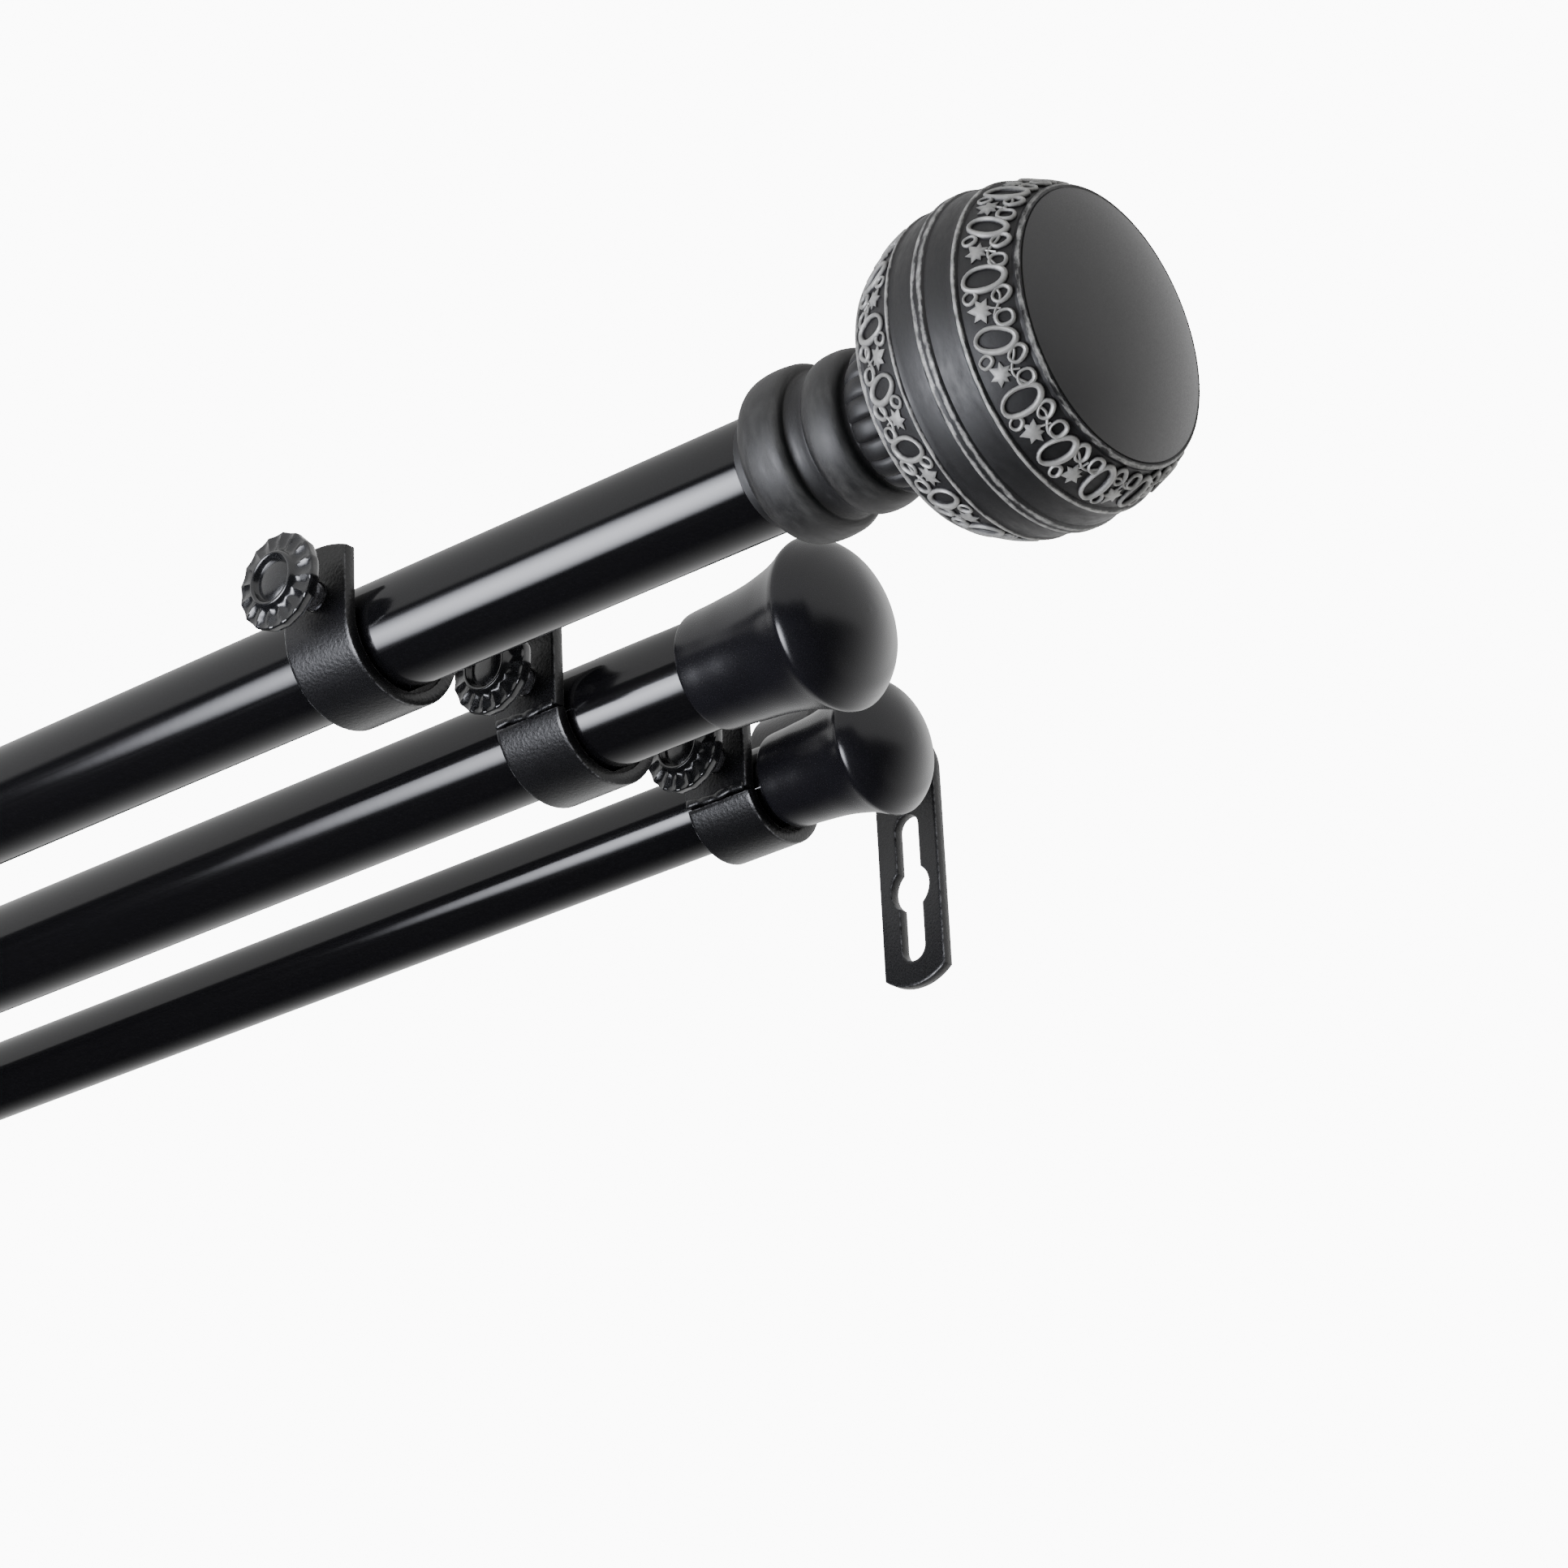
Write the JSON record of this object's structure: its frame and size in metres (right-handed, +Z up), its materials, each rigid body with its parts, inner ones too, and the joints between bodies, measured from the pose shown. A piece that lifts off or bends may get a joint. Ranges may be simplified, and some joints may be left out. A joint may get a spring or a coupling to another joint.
{
  "type": "curtain rod with brackets",
  "caption": "Wall-mounted triple curtain rod: telescoping tubes in serpentine strap brackets with thumb screws, ball finials and flared end caps.",
  "frame": {"origin": "on the wall face of the right-hand bracket, on the plate's centre line and 20 mm above the front rod's axis", "axes": "+X along the rods to the right-hand end seen from the room, +Y into the wall, +Z up"},
  "size_m": [1.078, 0.2255, 0.071],
  "materials": {
    "bracket": "satin black powder coat on bent steel strap",
    "weld": "satin black powder coat over a weld bead",
    "stud": "gloss black plated thread",
    "knob": "gloss black over die-cast zinc",
    "tube": "gloss black baked enamel",
    "inner_tube": "gloss black baked enamel",
    "glide": "natural nylon",
    "plug": "black moulded plastic",
    "finial": "cast resin, black with silver brushed over the raised parts",
    "finial_stud": "zinc-plated threaded stud",
    "cap": "satin black over a die-cast cap"
  },
  "bodies": {
    "brackets": {"right_front_hook": "bracket", "right_middle_hook": "bracket", "right_back_hook": "bracket", "right_middle_weld": "weld", "right_back_weld": "weld", "left_front_hook": "bracket", "left_middle_hook": "bracket", "left_back_hook": "bracket", "left_middle_weld": "weld", "left_back_weld": "weld"},
    "right_front_screw": {"right_front_thumb_stud": "stud"},
    "right_front_knob": {"right_front_thumb_knob": "knob"},
    "right_middle_screw": {"right_middle_thumb_stud": "stud"},
    "right_middle_knob": {"right_middle_thumb_knob": "knob"},
    "right_back_screw": {"right_back_thumb_stud": "stud"},
    "right_back_knob": {"right_back_thumb_knob": "knob"},
    "left_front_screw": {"left_front_thumb_stud": "stud"},
    "left_front_knob": {"left_front_thumb_knob": "knob"},
    "left_middle_screw": {"left_middle_thumb_stud": "stud"},
    "left_middle_knob": {"left_middle_thumb_knob": "knob"},
    "left_back_screw": {"left_back_thumb_stud": "stud"},
    "left_back_knob": {"left_back_thumb_knob": "knob"},
    "front_rod_right": {"front_outer_tube": "tube", "right_finial": "finial", "right_finial_stud": "finial_stud", "right_end_plug": "plug"},
    "front_rod_left": {"front_inner_tube": "inner_tube", "front_glide": "glide", "left_finial": "finial", "left_finial_stud": "finial_stud", "left_end_plug": "plug"},
    "middle_rod_right": {"middle_outer_tube": "tube", "right_middle_cap": "cap"},
    "middle_rod_left": {"middle_inner_tube": "inner_tube", "middle_glide": "glide", "left_middle_cap": "cap"},
    "back_rod_right": {"back_outer_tube": "tube", "right_back_cap": "cap"},
    "back_rod_left": {"back_inner_tube": "inner_tube", "back_glide": "glide", "left_back_cap": "cap"}
  },
  "joints": [
    {"name": "right_front_screw_travel", "type": "slide", "parent": "brackets", "child": "right_front_screw", "axis": [0, -1, 0], "range_m": [0, 0.00279]},
    {"name": "right_front_knob_turn", "type": "hinge", "parent": "right_front_screw", "child": "right_front_knob", "pos_m": [0, -0.22, -0.014], "axis": [0, -1, 0], "range_deg": [0, 794]},
    {"name": "right_middle_screw_travel", "type": "slide", "parent": "brackets", "child": "right_middle_screw", "axis": [0, -1, 0], "range_m": [0, 0.00279]},
    {"name": "right_middle_knob_turn", "type": "hinge", "parent": "right_middle_screw", "child": "right_middle_knob", "pos_m": [0, -0.154, -0.0132], "axis": [0, -1, 0], "range_deg": [0, 794]},
    {"name": "right_back_screw_travel", "type": "slide", "parent": "brackets", "child": "right_back_screw", "axis": [0, -1, 0], "range_m": [0, 0.00279]},
    {"name": "right_back_knob_turn", "type": "hinge", "parent": "right_back_screw", "child": "right_back_knob", "pos_m": [0, -0.092, -0.0128], "axis": [0, -1, 0], "range_deg": [0, 794]},
    {"name": "left_front_screw_travel", "type": "slide", "parent": "brackets", "child": "left_front_screw", "axis": [0, -1, 0], "range_m": [0, 0.00279]},
    {"name": "left_front_knob_turn", "type": "hinge", "parent": "left_front_screw", "child": "left_front_knob", "pos_m": [-0.66, -0.22, -0.014], "axis": [0, -1, 0], "range_deg": [0, 794]},
    {"name": "left_middle_screw_travel", "type": "slide", "parent": "brackets", "child": "left_middle_screw", "axis": [0, -1, 0], "range_m": [0, 0.00279]},
    {"name": "left_middle_knob_turn", "type": "hinge", "parent": "left_middle_screw", "child": "left_middle_knob", "pos_m": [-0.66, -0.154, -0.0132], "axis": [0, -1, 0], "range_deg": [0, 794]},
    {"name": "left_back_screw_travel", "type": "slide", "parent": "brackets", "child": "left_back_screw", "axis": [0, -1, 0], "range_m": [0, 0.00279]},
    {"name": "left_back_knob_turn", "type": "hinge", "parent": "left_back_screw", "child": "left_back_knob", "pos_m": [-0.66, -0.092, -0.0128], "axis": [0, -1, 0], "range_deg": [0, 794]},
    {"name": "front_right_slide", "type": "slide", "parent": "brackets", "child": "front_rod_right", "axis": [1, 0, 0], "range_m": [-0.0889, 0.1646]},
    {"name": "front_left_slide", "type": "slide", "parent": "brackets", "child": "front_rod_left", "axis": [-1, 0, 0], "range_m": [-0.0889, 0.1646]},
    {"name": "middle_right_slide", "type": "slide", "parent": "brackets", "child": "middle_rod_right", "axis": [1, 0, 0], "range_m": [-0.0325, 0.213]},
    {"name": "middle_left_slide", "type": "slide", "parent": "brackets", "child": "middle_rod_left", "axis": [-1, 0, 0], "range_m": [-0.0325, 0.213]},
    {"name": "back_right_slide", "type": "slide", "parent": "brackets", "child": "back_rod_right", "axis": [1, 0, 0], "range_m": [-0.0012, 0.248]},
    {"name": "back_left_slide", "type": "slide", "parent": "brackets", "child": "back_rod_left", "axis": [-1, 0, 0], "range_m": [-0.0012, 0.248]}
  ],
  "couplings": [
    {"joint": "right_front_knob_turn", "follows": "right_front_screw_travel", "rad_per_m": 4947.4},
    {"joint": "right_middle_knob_turn", "follows": "right_middle_screw_travel", "rad_per_m": 4947.4},
    {"joint": "right_back_knob_turn", "follows": "right_back_screw_travel", "rad_per_m": 4947.4},
    {"joint": "left_front_knob_turn", "follows": "left_front_screw_travel", "rad_per_m": 4947.4},
    {"joint": "left_middle_knob_turn", "follows": "left_middle_screw_travel", "rad_per_m": 4947.4},
    {"joint": "left_back_knob_turn", "follows": "left_back_screw_travel", "rad_per_m": 4947.4}
  ]
}
